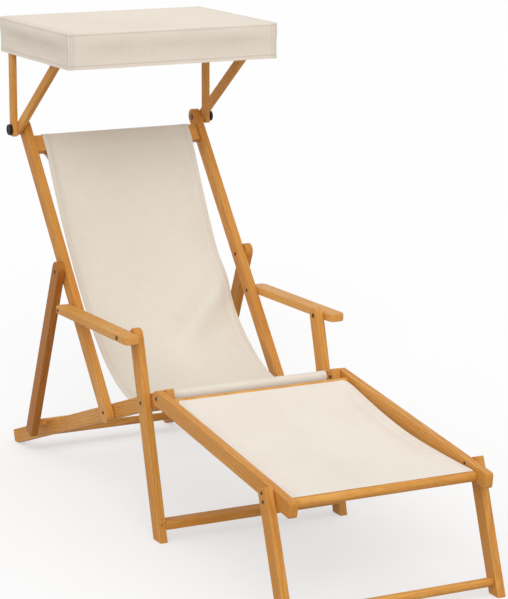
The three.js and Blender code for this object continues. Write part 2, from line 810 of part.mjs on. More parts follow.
// The footrest cloth: from the front of the rear bar to the top of the front bar
function buildFootrestSling() {
  const stand = seatedGap + footClothThickness / 2;
  const frontRound = footrestFrontBarRadius + stand;
  const chord = lineThrough(footrestFrontBar, footrestRearBar).degrees;
  const start = degreesPoint(footrestRearBar, footrestRearBarRadius + stand, footClothRearTack);
  const landing = 90 + chord - footClothDip;
  const land = degreesPoint(footrestFrontBar, frontRound, landing);
  const middle = start.clone().add(land).multiplyScalar(0.5);
  middle.y -= (start.distanceTo(land) / 2) * Math.tan(THREE.MathUtils.degToRad(footClothDip));
  const span = new THREE.QuadraticBezierCurve(start, middle, land);
  const path = [
    ...held([start]),
    ...freeSpan(span, footClothSteps),
    ...held(arcRound(footrestFrontBar, frontRound, landing, footClothFrontTack, sleeveSteps)),
  ];
  addMesh('footrest_sling', sheet(path, footClothHalfWidth, footClothThickness, footClothHollow,
    footClothDrawIn), canvas);
}

// The points of a rounded rectangle seen from above, with the outward direction and the
// share of the way along its side at each point
function rectangleRim(halfX, halfY, corner) {
  const sides = [[1, 1], [-1, 1], [-1, -1], [1, -1]];
  return sides.flatMap(([signX, signY], index) => {
    const centre = new THREE.Vector2(signX * (halfX - corner), signY * (halfY - corner));
    const turn = 90 * index;
    const bend = arcRound(centre, corner, turn, turn + 90, rimCornerSteps)
      .map((spot) => ({ spot, wave: 0 }));
    const [nextX, nextY] = sides[(index + 1) % sides.length];
    const next = degreesPoint(new THREE.Vector2(nextX * (halfX - corner),
      nextY * (halfY - corner)), corner, turn + 90);
    const start = bend[bend.length - 1].spot;
    const side = Array.from({ length: rimSteps - 1 }, (_, step) => {
      const share = (step + 1) / rimSteps;
      return {
        spot: start.clone().lerp(next, share),
        wave: Math.sin(coverWaves * Math.PI * share) ** 2,
      };
    });
    return [...bend, ...side];
  });
}

// The canopy cover: a shallow cloth box, open below, with a sagging top and hanging valances
function buildCanopyCover() {
  const halfX = rearStrutOuter + seatedGap + coverThickness;
  const reachY = canopyFrontReach + canopyRearReach;
  const halfY = reachY / 2 + seatedGap + coverThickness;
  const centreY = hub.x + canopyRearReach - reachY / 2;
  const topZ = hub.y + canopyRailRise + canopyBarWidth / 2 + seatedGap + coverThickness;
  const positions = [];

  function addShell(inset) {
    const corner = coverCorner - inset;
    const rim = rectangleRim(halfX - inset, halfY - inset, corner);
    const shoulder = rectangleRim(halfX - inset - coverShoulder, halfY - inset - coverShoulder,
      corner);
    positions.push(0, centreY, topZ - inset - coverSag);
    for (let step = 1; step <= coverTopSteps + 1; step += 1) {
      const share = step > coverTopSteps ? 1 : (coverHeldShare * step) / coverTopSteps;
      const sag = coverSag * (1 - Math.min(share / coverHeldShare, 1) ** 2) ** 2;
      shoulder.forEach(({ spot }) => {
        positions.push(spot.x * share, centreY + spot.y * share, topZ - inset - sag);
      });
    }
    for (let step = 0; step <= coverDropSteps; step += 1) {
      const share = step / coverDropSteps;
      const z = step === 0 ? topZ - inset - coverShoulder : topZ - coverDrop * share;
      rim.forEach(({ spot, wave }) => {
        const flare = 1 + (coverFlare * wave * share * share) / spot.length();
        positions.push(spot.x * flare, centreY + spot.y * flare, z);
      });
    }
    return rim.length;
  }

  const around = addShell(0);
  const shellSize = positions.length / 3;
  addShell(coverThickness);
  const rows = (shellSize - 1) / around;
  const at = (row, k) => 1 + row * around + (k % around);
  const index = [];
  const triangle = (a, b, c) => {
    index.push(a, b, c);
    index.push(shellSize + a, shellSize + c, shellSize + b);
  };
  for (let k = 0; k < around; k += 1) {
    triangle(0, at(0, k), at(0, k + 1));
    for (let row = 1; row < rows; row += 1) {
      triangle(at(row - 1, k), at(row, k), at(row, k + 1));
      triangle(at(row - 1, k), at(row, k + 1), at(row - 1, k + 1));
    }
    const from = at(rows - 1, k);
    const to = at(rows - 1, k + 1);
    index.push(from, shellSize + from, shellSize + to, from, shellSize + to, to);
  }
  const indexed = new THREE.BufferGeometry();
  indexed.setAttribute('position', new THREE.Float32BufferAttribute(positions, 3));
  indexed.setIndex(index);
  const geometry = indexed.toNonIndexed();
  geometry.computeVertexNormals();
  addMesh('canopy_cover', geometry, canvas);
}

buildSeatFrame();
buildBackFrame();
buildPropFrame();
buildFrontLegs();
buildArmrests();
buildFootrest();
buildCanopyFrame();
buildHub();
buildSeatSling();
buildFootrestSling();
buildCanopyCover();

// The origin goes to the middle of the footprint, on the floor
const extent = new THREE.Box3().setFromObject(group);
const middle = extent.getCenter(new THREE.Vector3());
for (const mesh of group.children) mesh.geometry.translate(-middle.x, -middle.y, 0);

export default group;
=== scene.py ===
import math

import bpy
from mathutils import Matrix, Vector, noise


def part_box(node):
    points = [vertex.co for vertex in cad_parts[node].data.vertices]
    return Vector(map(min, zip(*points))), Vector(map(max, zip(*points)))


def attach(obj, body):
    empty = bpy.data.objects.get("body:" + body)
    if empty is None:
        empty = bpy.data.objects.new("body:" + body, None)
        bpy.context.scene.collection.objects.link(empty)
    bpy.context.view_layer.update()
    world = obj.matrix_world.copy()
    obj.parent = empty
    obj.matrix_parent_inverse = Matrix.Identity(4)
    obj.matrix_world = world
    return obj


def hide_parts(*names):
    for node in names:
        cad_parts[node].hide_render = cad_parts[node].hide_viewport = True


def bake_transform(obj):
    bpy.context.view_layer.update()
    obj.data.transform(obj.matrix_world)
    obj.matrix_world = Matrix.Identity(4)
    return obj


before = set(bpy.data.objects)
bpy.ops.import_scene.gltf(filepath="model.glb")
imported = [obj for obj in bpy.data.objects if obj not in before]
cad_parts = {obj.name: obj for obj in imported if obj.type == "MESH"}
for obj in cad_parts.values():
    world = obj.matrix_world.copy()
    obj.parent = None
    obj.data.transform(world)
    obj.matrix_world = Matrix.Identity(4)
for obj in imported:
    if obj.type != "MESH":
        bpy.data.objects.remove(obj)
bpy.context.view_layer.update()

# Viewpoint
# The photograph is taken from the front left, a little above the seat, with a long lens.
# Its place and turn were solved together with the side outline of the chair.
camera_place = Vector((-2.6658, -5.3954, 1.8931))
azimuth, elevation, roll = math.radians(-27.0), math.radians(12.61), math.radians(0.11)
looking_back = Vector((
    math.sin(azimuth) * math.cos(elevation),
    -math.cos(azimuth) * math.cos(elevation),
    math.sin(elevation),
))
level = Vector((math.cos(azimuth), math.sin(azimuth), 0))
upward = looking_back.cross(level)
camera_right = level * math.cos(roll) + upward * math.sin(roll)
camera_up = upward * math.cos(roll) - level * math.sin(roll)

camera_data = bpy.data.cameras.new("camera")
camera_data.lens = 148.11
camera_data.sensor_width = 36
camera_data.shift_x = -0.00417
camera_data.shift_y = 0.00516
camera = bpy.data.objects.new("camera", camera_data)
camera.matrix_world = (
    Matrix.Translation(camera_place)
    @ Matrix((camera_right, camera_up, looking_back)).transposed().to_4x4()
)
bpy.context.scene.collection.objects.link(camera)
bpy.context.scene.camera = camera
bpy.context.scene.view_settings.view_transform = "Standard"


# Floor and daylight
# A plain pale studio floor under an even white sky, with one weak broad lamp from the
# front left, so that level surfaces show their colour as written and upright ones fall off gently.
def colour(hexadecimal):
    """An sRGB hex value as linear red, green, blue and alpha."""
    shares = [int(hexadecimal[i:i + 2], 16) / 255 for i in (1, 3, 5)]
    return (*(c / 12.92 if c <= 0.04045 else ((c + 0.055) / 1.055) ** 2.4 for c in shares), 1)


def add_node(tree, kind, inputs=None, **settings):
    """One node with its settings; each input is a value or the output that it is linked to."""
    made = tree.nodes.new(kind)
    for name, value in settings.items():
        setattr(made, name, value)
    for key, value in (inputs or {}).items():
        if isinstance(value, bpy.types.NodeSocket):
            tree.links.new(value, made.inputs[key])
        else:
            made.inputs[key].default_value = value
    return made


def new_finish(name):
    """An empty material, its node tree and its surface shader."""
    finish = bpy.data.materials.new(name)
    finish.use_nodes = True
    return finish, finish.node_tree, finish.node_tree.nodes["Principled BSDF"]


sky_strength, sky_seen = 0.83, 0.98
sun_strength, sun_spread, sun_towards = 0.9, 40, Vector((-0.38, -0.76, 0.52))
floor_size, floor_bounce, floor_seen, floor_glow = 200, "#b4b2b0", "#bcbcbc", 0.5


def seen_directly(tree):
    """1 where the camera looks straight at a surface, or by a reflection or through glass."""
    path = add_node(tree, "ShaderNodeLightPath")
    seen = add_node(tree, "ShaderNodeMath", {
        0: path.outputs["Is Camera Ray"], 1: path.outputs["Is Glossy Ray"]},
        operation="MAXIMUM")
    seen = add_node(tree, "ShaderNodeMath", {
        0: seen.outputs[0], 1: path.outputs["Is Transmission Ray"]}, operation="MAXIMUM")
    return seen.outputs[0]


world = bpy.data.worlds.new("white_sky")
bpy.context.scene.world = world
world.use_nodes = True
sky = world.node_tree
strength = add_node(sky, "ShaderNodeMapRange", {
    "Value": seen_directly(sky), "To Min": sky_strength, "To Max": sky_seen})
sky.nodes["Background"].inputs["Color"].default_value = colour("#ffffff")
sky.links.new(strength.outputs["Result"], sky.nodes["Background"].inputs["Strength"])

sun_data = bpy.data.lights.new("soft_lamp", "SUN")
sun_data.energy = sun_strength
sun_data.angle = math.radians(sun_spread)
sun = bpy.data.objects.new("soft_lamp", sun_data)
sun.rotation_euler = sun_towards.to_track_quat("Z", "Y").to_euler()
bpy.context.scene.collection.objects.link(sun)

bpy.ops.object.select_all(action="DESELECT")
bpy.ops.mesh.primitive_plane_add(size=floor_size)
floor = bpy.context.object
floor.name = "floor"
floor_finish, tree, surface = new_finish("pale_floor")
seen = seen_directly(tree)
paint = add_node(tree, "ShaderNodeMix", {
    "Factor": seen, 6: colour(floor_bounce), 7: colour(floor_seen)}, data_type="RGBA")
tree.links.new(paint.outputs[2], surface.inputs["Base Color"])
glow = add_node(tree, "ShaderNodeMath", {0: seen, 1: floor_glow}, operation="MULTIPLY")
surface.inputs["Emission Color"].default_value = colour("#ffffff")
tree.links.new(glow.outputs[0], surface.inputs["Emission Strength"])
surface.inputs["Roughness"].default_value = 1.0
surface.inputs["Specular IOR Level"].default_value = 0.0
floor.data.materials.append(floor_finish)


# Seat rails and their crossbars
# Planed hardwood of the teak kind, 21 x 39 mm, rubbed with oil: honey brown with darker
# growth bands and short open pores along the board, and a low satin gleam.
def oiled_wood(name, lean=0.0, across=False, light="#ecb05a", dark="#bb7228"):
    """Wood whose grain follows a board that leans so many degrees in the side view."""
    soaked, pore_brown, rubbed_pale_and_highlight = "#c07628", "#7a4a1e", "#f2c076"
    arris = 0.0014
    finish, tree, surface = new_finish(name)
    turn = (0, 0, -math.pi / 2) if across else (math.radians(lean), 0, 0)
    place = add_node(tree, "ShaderNodeTexCoord")
    board = add_node(tree, "ShaderNodeMapping", {
        "Vector": place.outputs["Object"], "Rotation": turn, "Location": (0.05, 0.0, 0.0)},
        vector_type="TEXTURE").outputs[0]

    # Growth bands 6.5 mm apart, bent by a slow drift of the grain over 250 mm
    drift = add_node(tree, "ShaderNodeMapping", {"Vector": board, "Scale": (18, 4, 18)})
    drift = add_node(tree, "ShaderNodeTexNoise", {
        "Vector": drift.outputs[0], "Scale": 1.0, "Detail": 3.0, "Roughness": 0.55})
    bent = add_node(tree, "ShaderNodeVectorMath", {
        0: drift.outputs["Color"], 1: (0.03, 0.0, 0.03)}, operation="MULTIPLY")
    bent = add_node(tree, "ShaderNodeVectorMath", {0: board, 1: bent.outputs[0]}, operation="ADD")
    bands = add_node(tree, "ShaderNodeTexWave", {
        "Vector": bent.outputs[0], "Scale": 48.0, "Distortion": 1.2, "Detail": 2.0,
        "Detail Scale": 1.4}, wave_type="RINGS", rings_direction="Y", wave_profile="SIN")

    # Fibres 1 mm wide and 60 mm long, pores drawn 1.5 mm wide so that they show, and patches
    # a hand wide where more oil has soaked in
    fibre = add_node(tree, "ShaderNodeMapping", {"Vector": board, "Scale": (900, 16, 900)})
    fibre = add_node(tree, "ShaderNodeTexNoise", {
        "Vector": fibre.outputs[0], "Scale": 1.0, "Detail": 2.0})
    pores = add_node(tree, "ShaderNodeMapping", {"Vector": board, "Scale": (620, 45, 620)})
    pores = add_node(tree, "ShaderNodeTexNoise", {
        "Vector": pores.outputs[0], "Scale": 1.0, "Detail": 1.0})
    pores = add_node(tree, "ShaderNodeMapRange", {
        "Value": pores.outputs["Fac"], "From Min": 0.66, "From Max": 0.74})
    patches = add_node(tree, "ShaderNodeMapping", {"Vector": board, "Scale": (9, 2.5, 9)})
    patches = add_node(tree, "ShaderNodeTexNoise", {"Vector": patches.outputs[0], "Scale": 1.0})

    figure = add_node(tree, "ShaderNodeMath", {
        0: bands.outputs["Fac"], 1: 0.36}, operation="MULTIPLY")
    figure = add_node(tree, "ShaderNodeMath", {
        0: fibre.outputs["Fac"], 1: 0.6, 2: figure.outputs[0]}, operation="MULTIPLY_ADD")
    wood = add_node(tree, "ShaderNodeMix", {
        "Factor": figure.outputs[0], 6: colour(light), 7: colour(dark)}, data_type="RGBA")
    shade = add_node(tree, "ShaderNodeMapRange", {
        "Value": patches.outputs["Fac"], "From Min": 0.35, "From Max": 0.7,
        "To Min": 0.0, "To Max": 0.45})
    wood = add_node(tree, "ShaderNodeMix", {
        "Factor": shade.outputs[0], 6: wood.outputs[2], 7: colour(soaked)}, data_type="RGBA")
    pore_share = add_node(tree, "ShaderNodeMath", {
        0: pores.outputs[0], 1: 0.5}, operation="MULTIPLY")
    wood = add_node(tree, "ShaderNodeMix", {
        "Factor": pore_share.outputs[0], 6: wood.outputs[2], 7: colour(pore_brown)},
        data_type="RGBA")

    # The arrises are rubbed round by hands and are smoother there than the faces; their paler
    # colour is partly wear and partly a painted highlight
    rubbed = add_node(tree, "ShaderNodeBevel", {"Radius": arris}, samples=4)
    facing = add_node(tree, "ShaderNodeNewGeometry")
    level_with = add_node(tree, "ShaderNodeVectorMath", {
        0: rubbed.outputs[0], 1: facing.outputs["True Normal"]}, operation="DOT_PRODUCT")
    wear_and_highlight = add_node(tree, "ShaderNodeMapRange", {
        "Value": level_with.outputs["Value"], "From Min": 0.75, "From Max": 0.985,
        "To Min": 0.5, "To Max": 0.0})
    wood = add_node(tree, "ShaderNodeMix", {
        "Factor": wear_and_highlight.outputs[0], 6: wood.outputs[2], 7: colour(rubbed_pale_and_highlight)}, data_type="RGBA")
    tree.links.new(wood.outputs[2], surface.inputs["Base Color"])

    gleam = add_node(tree, "ShaderNodeMapRange", {
        "Value": patches.outputs["Fac"], "From Min": 0.3, "From Max": 0.7,
        "To Min": 0.42, "To Max": 0.6})
    gleam = add_node(tree, "ShaderNodeMath", {
        0: wear_and_highlight.outputs[0], 1: -0.25, 2: gleam.outputs[0]}, operation="MULTIPLY_ADD")
    tree.links.new(gleam.outputs[0], surface.inputs["Roughness"])
    relief = add_node(tree, "ShaderNodeMath", {
        0: pores.outputs[0], 1: -0.8, 2: fibre.outputs["Fac"]}, operation="MULTIPLY_ADD")
    bump = add_node(tree, "ShaderNodeBump", {
        "Height": relief.outputs[0], "Normal": rubbed.outputs[0], "Strength": 0.35,
        "Distance": 0.0004})
    tree.links.new(bump.outputs[0], surface.inputs["Normal"])
    surface.inputs["IOR"].default_value = 1.45
    surface.inputs["Specular IOR Level"].default_value = 0.27
    return finish


def dress(finish, *names):
    """Gives CAD nodes their finish."""
    for name in names:
        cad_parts[name].material_slots[0].material = finish


def both(name):
    """The right-hand and the left-hand node of a pair."""
    return f"{name}_right", f"{name}_left"


seat_slope = -19.14
# The crossbars are a lighter copy of the same wood: painted light that offsets the shade they lie
# in under the seat and the canopy
crossbar_wood = oiled_wood("oiled_teak_crossbars_painted_light", across=True, light="#f4ba66", dark="#cc8634")
dress(oiled_wood("oiled_teak_seat_rails", seat_slope), *both("seat_rail"))
dress(crossbar_wood, "seat_front_bar", "seat_rear_stretcher")

# Back frame
# Two long rails bolted inside the armrests, joined by the flat slat that carries the head
# end of the sling. The same oiled wood, its grain along the lean of the back.
back_lean = 51.4
dress(oiled_wood("oiled_teak_back_rails", back_lean), *both("back_rail"))
dress(crossbar_wood, "head_slat")

# Props
# A pair of boards bolted outside the back rails, with a turned bar across their feet that
# stands in the notches of the seat rails. Both are a darker copy of the wood as painted
# shade, the left one much darker.
def select_end(piece, towards):
    """Selects the flat end of a piece that looks along +X or -X, in edit mode."""
    bpy.ops.mesh.select_mode(type="FACE")
    bpy.ops.mesh.select_all(action="DESELECT")
    bpy.ops.object.mode_set(mode="OBJECT")
    ends = [face for face in piece.data.polygons if face.normal.x * towards > 0.99]
    furthest = max(face.center.x * towards for face in ends)
    for face in ends:
        face.select = face.center.x * towards > furthest - 1e-5
    bpy.ops.object.mode_set(mode="EDIT")


def turn_bar(node, tenon_radius, rides_on):
    """A round crossbar turned smooth, shouldered down to a tenon at each end."""
    tenon_reach, shoulder_round = 0.012, 0.0012
    low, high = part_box(node)
    spot, radius = (low + high) / 2, (high.y - low.y) / 2
    bpy.ops.object.select_all(action="DESELECT")
    bpy.ops.mesh.primitive_cylinder_add(
        vertices=48, radius=radius, depth=high.x - low.x - 2 * tenon_reach, location=spot,
        rotation=(0, math.pi / 2, 0))
    bar = bpy.context.object
    bar.name = f"turned_{node}"
    bpy.ops.object.transform_apply(location=True, rotation=True, scale=True)
    bpy.ops.object.mode_set(mode="EDIT")
    for towards in (1, -1):
        select_end(bar, towards)
        bpy.ops.mesh.bevel(offset=shoulder_round, segments=2, affect="EDGES")
        select_end(bar, towards)
        bpy.ops.mesh.inset(thickness=radius - shoulder_round - tenon_radius)
        bpy.ops.mesh.extrude_region_move(
            TRANSFORM_OT_translate={"value": (towards * tenon_reach, 0, 0)})
    bpy.ops.object.mode_set(mode="OBJECT")
    bpy.ops.object.shade_smooth_by_angle(angle=math.radians(35))
    bar.data.materials.append(crossbar_wood)
    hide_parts(node)
    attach(bar, rides_on)


prop_lean = 113.15
# Painted shade: darker copies of the oiled teak, the left one darkest
dress(oiled_wood("oiled_teak_prop_right_painted_shade", prop_lean, light="#e6a852", dark="#b36c28"),
      "prop_rail_right")
dress(oiled_wood("oiled_teak_prop_left_painted_shade", prop_lean, light="#bd7d35", dark="#8f4f18"),
      "prop_rail_left")
prop_tenon_radius = 0.009
turn_bar("prop_notch_bar", prop_tenon_radius, "prop_frame")

# Front legs
# Upright boards with half-round tops bolted through the armrests, stiffened near the floor
# by a flat stretcher.
leg_lean = 74.8
dress(oiled_wood("oiled_teak_front_legs", leg_lean, light="#eeb25c", dark="#c27c2e"),
      *both("front_leg"))
dress(crossbar_wood, "front_leg_stretcher")

# Armrests
# Flat boards rounded in plan at both ends, sanded smooth where the forearm lies.
dress(oiled_wood("oiled_teak_armrests", light="#f0b866", dark="#cb8a3c"), *both("armrest"))

# Footrest frame
# Two rails on the seat frame's front bolts, joined by turned bars, on splayed legs whose
# feet are tied by a thinner dowel.
footrest_lean, footrest_leg_lean, footrest_tenon_radius = 7.33, 70.74, 0.008
dress(oiled_wood("oiled_teak_footrest_rails", footrest_lean), *both("footrest_rail"))
dress(oiled_wood("oiled_teak_footrest_legs", footrest_leg_lean), *both("footrest_leg"))
for node in ("footrest_rear_bar", "footrest_front_bar", "footrest_leg_stretcher"):
    turn_bar(node, footrest_tenon_radius, "footrest_frame")

# Canopy frame
# Thinner battens of 14 x 25 mm: a diagonal and an upright on each side, halved and screwed
# to the rectangle that carries the cover.
# The battens are a lighter copy of the same wood: painted light that offsets the canopy's shadow
# on them
for stem, batten_lean in (
        ("canopy_front_strut", 143.13), ("canopy_rear_strut", 90.0), ("canopy_side_rail", 0.0)):
    dress(oiled_wood(f"oiled_teak_{stem}s", batten_lean, light="#f4bc6a", dark="#cc8838"),
          *both(stem))
dress(crossbar_wood, "canopy_front_bar", "canopy_rear_bar")

# Bolts and screws
# Steel connector bolts with low socket heads sunk almost flush in the boards, each with a
# flat nut cap on the inner side. Their dark brown colour is painted shade for the holes they
# sit in, so that only small dark dots are seen.
dark_bolt_steel, tree, surface = new_finish("steel_painted_dark")
place = add_node(tree, "ShaderNodeTexCoord")
cloud = add_node(tree, "ShaderNodeTexNoise", {
    "Vector": place.outputs["Object"], "Scale": 400.0, "Detail": 3.0})
tone = add_node(tree, "ShaderNodeMix", {
    "Factor": cloud.outputs["Fac"], 6: colour("#4a3526"), 7: colour("#8a6a4c")},
    data_type="RGBA")
tree.links.new(tone.outputs[2], surface.inputs["Base Color"])
rough = add_node(tree, "ShaderNodeMapRange", {
    "Value": cloud.outputs["Fac"], "To Min": 0.32, "To Max": 0.55})
tree.links.new(rough.outputs[0], surface.inputs["Roughness"])
surface.inputs["Metallic"].default_value = 1.0


def sink_bolt(node, shank, head, head_wall, cap_wall):
    """A socket bolt through the right-hand boards, from the wall under its head to the inner
    wall, and its left-hand copy."""
    rim_share, crown_share, socket_wall_share, socket_depth_share = 0.55, 0.84, 0.34, 2.2
    low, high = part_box(node + "_right")
    middle = Vector(((head_wall + cap_wall) / 2, (low.y + high.y) / 2, (low.z + high.z) / 2))
    bpy.ops.object.select_all(action="DESELECT")
    bpy.ops.mesh.primitive_cylinder_add(
        vertices=24, radius=shank, depth=head_wall - cap_wall, rotation=(0, math.pi / 2, 0),
        location=middle)
    bolt = bpy.context.object
    bpy.ops.object.transform_apply(location=True, rotation=True, scale=True)
    bpy.ops.object.mode_set(mode="EDIT")
    for towards, proud in ((1, head_proud), (-1, cap_proud)):
        select_end(bolt, towards)
        bpy.ops.mesh.extrude_region_move()
        bpy.ops.transform.resize(value=(1, head / shank, head / shank), center_override=middle)
        bpy.ops.mesh.extrude_region_move(
            TRANSFORM_OT_translate={"value": (towards * proud * rim_share, 0, 0)})
        bpy.ops.mesh.extrude_region_move(
            TRANSFORM_OT_translate={"value": (towards * proud * (1 - rim_share), 0, 0)})
        bpy.ops.transform.resize(value=(1, crown_share, crown_share), center_override=middle)
        bpy.ops.mesh.inset(thickness=head * socket_wall_share)
        bpy.ops.mesh.extrude_region_move(
            TRANSFORM_OT_translate={"value": (-towards * proud * socket_depth_share, 0, 0)})
    bpy.ops.mesh.select_all(action="SELECT")
    bpy.ops.mesh.normals_make_consistent(inside=False)
    bpy.ops.object.mode_set(mode="OBJECT")
    bpy.ops.object.shade_smooth_by_angle(angle=math.radians(35))
    bolt.data.materials.append(dark_bolt_steel)
    return bolt, left_copy(bolt, middle.y)


def left_copy(piece, middle_y):
    """A right-hand piece copied with its mesh and turned half round to the left-hand side."""
    bpy.ops.object.select_all(action="DESELECT")
    piece.select_set(True)
    bpy.context.view_layer.objects.active = piece
    bpy.ops.object.duplicate(linked=False)
    copied = bpy.context.object
    copied.rotation_euler.z = math.pi
    copied.location.y = 2 * middle_y
    bpy.ops.object.transform_apply(location=True, rotation=True, scale=True)
    return copied


# The shank's and the head's radius; the front arm holes have 1.2 mm of play, so the heads
# over them are wider
pivot_bolt, arm_bolt, leg_bolt = (0.004, 0.0047), (0.004, 0.0062), (0.003, 0.0043)
head_height, cap_height, head_proud, cap_proud = 0.003, 0.0024, 0.0013, 0.0009
for stem, rides_on, size in (
        ("back_pivot_bolt", "seat_frame", pivot_bolt),
        ("leg_pivot_bolt", "seat_frame", pivot_bolt),
        ("footrest_pivot_bolt", "seat_frame", pivot_bolt),
        ("prop_pivot_bolt", "back_frame", pivot_bolt),
        ("arm_rear_bolt", "back_frame", pivot_bolt),
        ("arm_front_bolt", "front_legs", arm_bolt),
        ("footrest_leg_bolt_upper", "footrest_frame", leg_bolt),
        ("footrest_leg_bolt_lower", "footrest_frame", leg_bolt)):
    inner, outer = (corner.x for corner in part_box(stem + "_right"))
    pair = sink_bolt(stem, *size, outer - head_height, inner + cap_height)
    for node, bolt in zip(both(stem), pair):
        bolt.name = f"sunk_{node}"
        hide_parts(node)
        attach(bolt, rides_on)
for stem in ("canopy_front_screw", "canopy_rear_screw", "canopy_hub_bolt"):
    dress(dark_bolt_steel, *both(stem))

# Clamping knobs
# Flat round grips moulded in black nylon, with a ribbed rim and a dished face, screwed on
# the ends of the hub bolts: they clamp the canopy at its tilt.
nylon, tree, surface = new_finish("moulded_black_nylon")
place = add_node(tree, "ShaderNodeTexCoord")
grit = add_node(tree, "ShaderNodeTexNoise", {
    "Vector": place.outputs["Object"], "Scale": 1400.0, "Detail": 2.0})
tone = add_node(tree, "ShaderNodeMix", {
    "Factor": grit.outputs["Fac"], 6: colour("#080809"), 7: colour("#131315")},
    data_type="RGBA")
tree.links.new(tone.outputs[2], surface.inputs["Base Color"])
bump = add_node(tree, "ShaderNodeBump", {
    "Height": grit.outputs["Fac"], "Strength": 0.25, "Distance": 0.0002})
tree.links.new(bump.outputs[0], surface.inputs["Normal"])
surface.inputs["Roughness"].default_value = 0.55
surface.inputs["IOR"].default_value = 1.53
surface.inputs["Specular IOR Level"].default_value = 0.3
knob_ribs, rib_depth, ribbed_band, rim_round, rim_width = 18, 0.0008, 0.0012, 0.0016, 0.0028
low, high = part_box("canopy_knob_right")
spot, radius, height = (low + high) / 2, (high.y - low.y) / 2, high.x - low.x
bpy.ops.object.select_all(action="DESELECT")
bpy.ops.mesh.primitive_cylinder_add(
    vertices=4 * knob_ribs, radius=radius, depth=height, location=spot,
    rotation=(0, math.pi / 2, 0))
knob = bpy.context.object
bpy.ops.object.transform_apply(location=True, rotation=True, scale=True)
bpy.ops.object.mode_set(mode="EDIT")
for towards in (1, -1):
    select_end(knob, towards)
    bpy.ops.mesh.bevel(offset=rim_round, segments=3, affect="EDGES")
select_end(knob, 1)
bpy.ops.mesh.inset(thickness=rim_width)
for dish_width, dish_fall in ((0.0022, 0.0012), (0.004, 0.0004)):
    bpy.ops.mesh.inset(thickness=dish_width, depth=-dish_fall)
bpy.ops.object.mode_set(mode="OBJECT")
for vertex in knob.data.vertices:
    off = Vector((vertex.co.y - spot.y, vertex.co.z - spot.z))
    if off.length > radius - ribbed_band:
        turn = math.atan2(off.y, off.x)
        held = 1 - rib_depth / radius * (0.5 - 0.5 * math.cos(knob_ribs * turn))
        vertex.co.y, vertex.co.z = spot.y + off.x * held, spot.z + off.y * held
bpy.ops.object.shade_smooth_by_angle(angle=math.radians(40))
knob.data.materials.append(nylon)
for hand, piece in (("right", knob), ("left", left_copy(knob, spot.y))):
    piece.name = f"ribbed_knob_{hand}"
    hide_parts(f"canopy_knob_{hand}")
    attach(piece, f"knob_{hand}")


